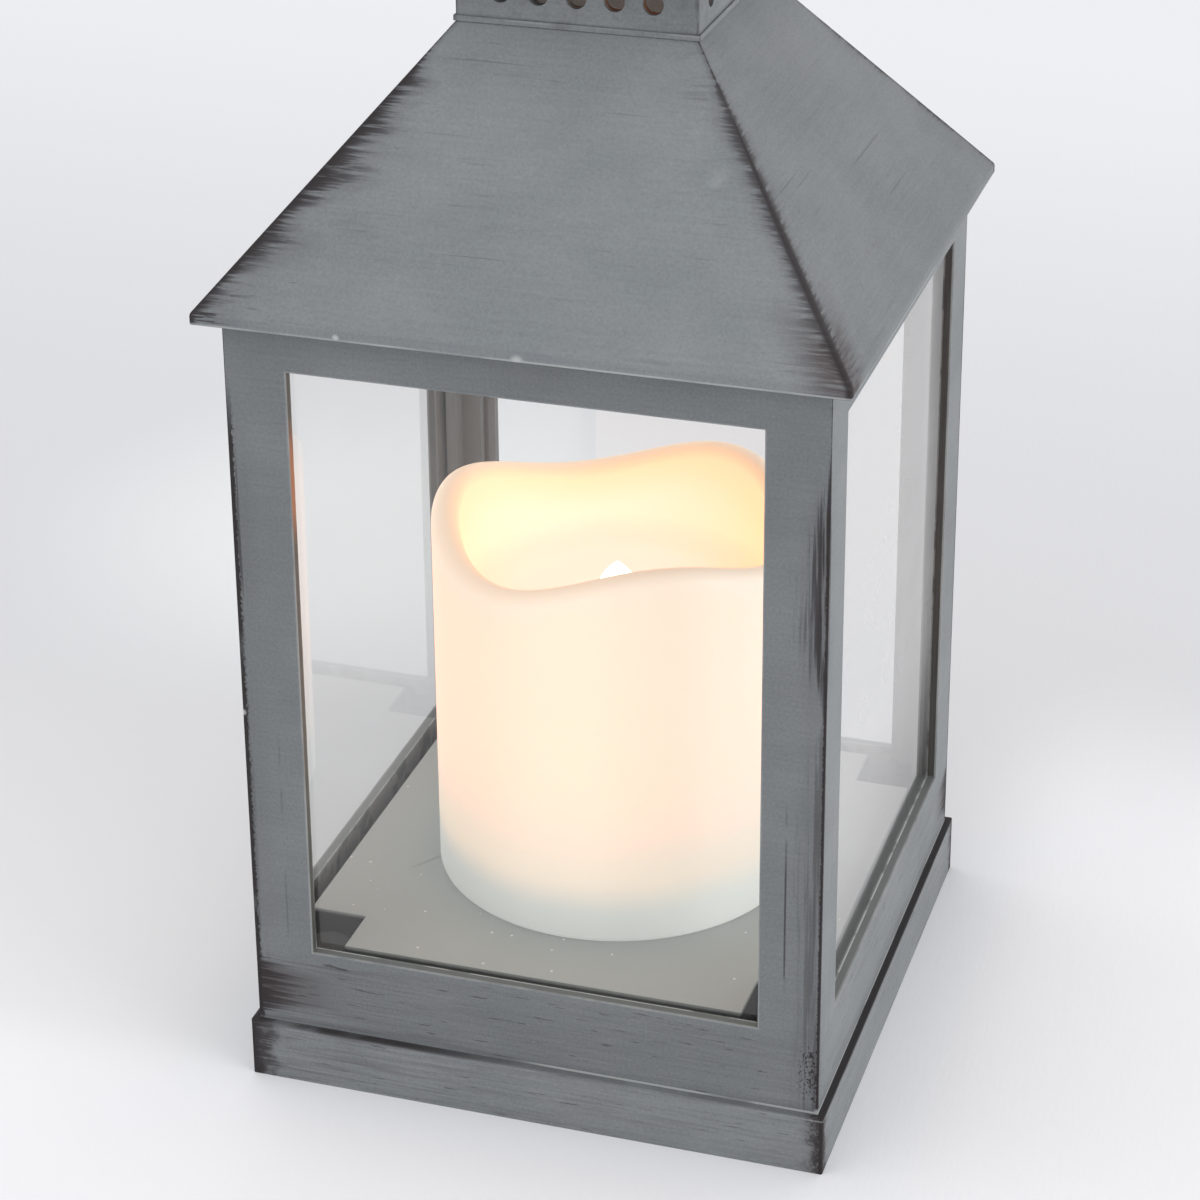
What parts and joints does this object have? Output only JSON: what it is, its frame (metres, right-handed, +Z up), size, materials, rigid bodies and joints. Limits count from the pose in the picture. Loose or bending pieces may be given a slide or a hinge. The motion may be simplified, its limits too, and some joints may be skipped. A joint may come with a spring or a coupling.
{
  "type": "candle lantern",
  "caption": "Square battery lantern with clear windows, hipped roof, vent collar and swinging hanging ring, holding a flameless candle over a switched battery base.",
  "frame": {"origin": "middle of the face that the plinth stands on", "axes": "+Z up, front window towards -Y, +X to the right seen from the front"},
  "size_m": [0.1078, 0.1078, 0.2355],
  "materials": {
    "housing": "matt blue-grey paint over moulded plastic, brushed with dark umber along the edges",
    "base": "the same paint, brushed lengthwise",
    "pane": "clear polystyrene sheet",
    "underside": "bare moulded plastic, fine spark texture",
    "hanger": "dark browned wire",
    "plated_steel": "zinc plated",
    "cell_sleeve": "plain printed-film sleeve with a bare steel end",
    "board": "green solder mask",
    "black_plastic": "moulded black",
    "lead": "insulated wire, one red and one black",
    "candle_wax": "ivory wax over plastic, lit from inside",
    "candle_inner": "off-white moulded plastic",
    "flame": "frosted silicone over the lamp",
    "lamp": "warm white lamp"
  },
  "bodies": {
    "housing": {"body_frame": "housing", "pane_front": "pane", "pane_back": "pane", "pane_left": "pane", "pane_right": "pane", "roof": "housing", "vent_collar": "housing", "cap": "housing", "hanger_eye": "hanger", "hanger_nut": "plated_steel", "base_plinth": "base", "base_cover": "underside", "base_screws": "plated_steel", "battery_front": "cell_sleeve", "battery_middle": "cell_sleeve", "battery_rear": "cell_sleeve", "contact_springs": "plated_steel", "contact_plates": "plated_steel", "power_leads": "lead", "switch_body": "black_plastic", "circuit_board": "board", "timer_chip": "black_plastic", "board_screws": "plated_steel", "led_leads": "lead", "candle_foot": "candle_inner", "candle_screws": "plated_steel", "led_stem": "candle_inner", "led_lamp": "lamp", "flame_tip": "flame", "candle_shell": "candle_wax"},
    "ring": {"ring_handle": "hanger"},
    "slider": {"switch_slider": "black_plastic"},
    "door": {"battery_door": "underside"}
  },
  "joints": [
    {"name": "ring_swing", "type": "hinge", "parent": "housing", "child": "ring", "pos_m": [0, 0, 0.23067], "axis": [-1, 0, 0], "range_deg": [0, 281.7]},
    {"name": "switch_slide", "type": "slide", "parent": "housing", "child": "slider", "axis": [1, 0, 0], "range_m": [0, 0.004]},
    {"name": "door_swing", "type": "hinge", "parent": "housing", "child": "door", "pos_m": [-0.0251, -0.01, 0.002], "axis": [0, 1, 0], "range_deg": [0, 90]}
  ]
}
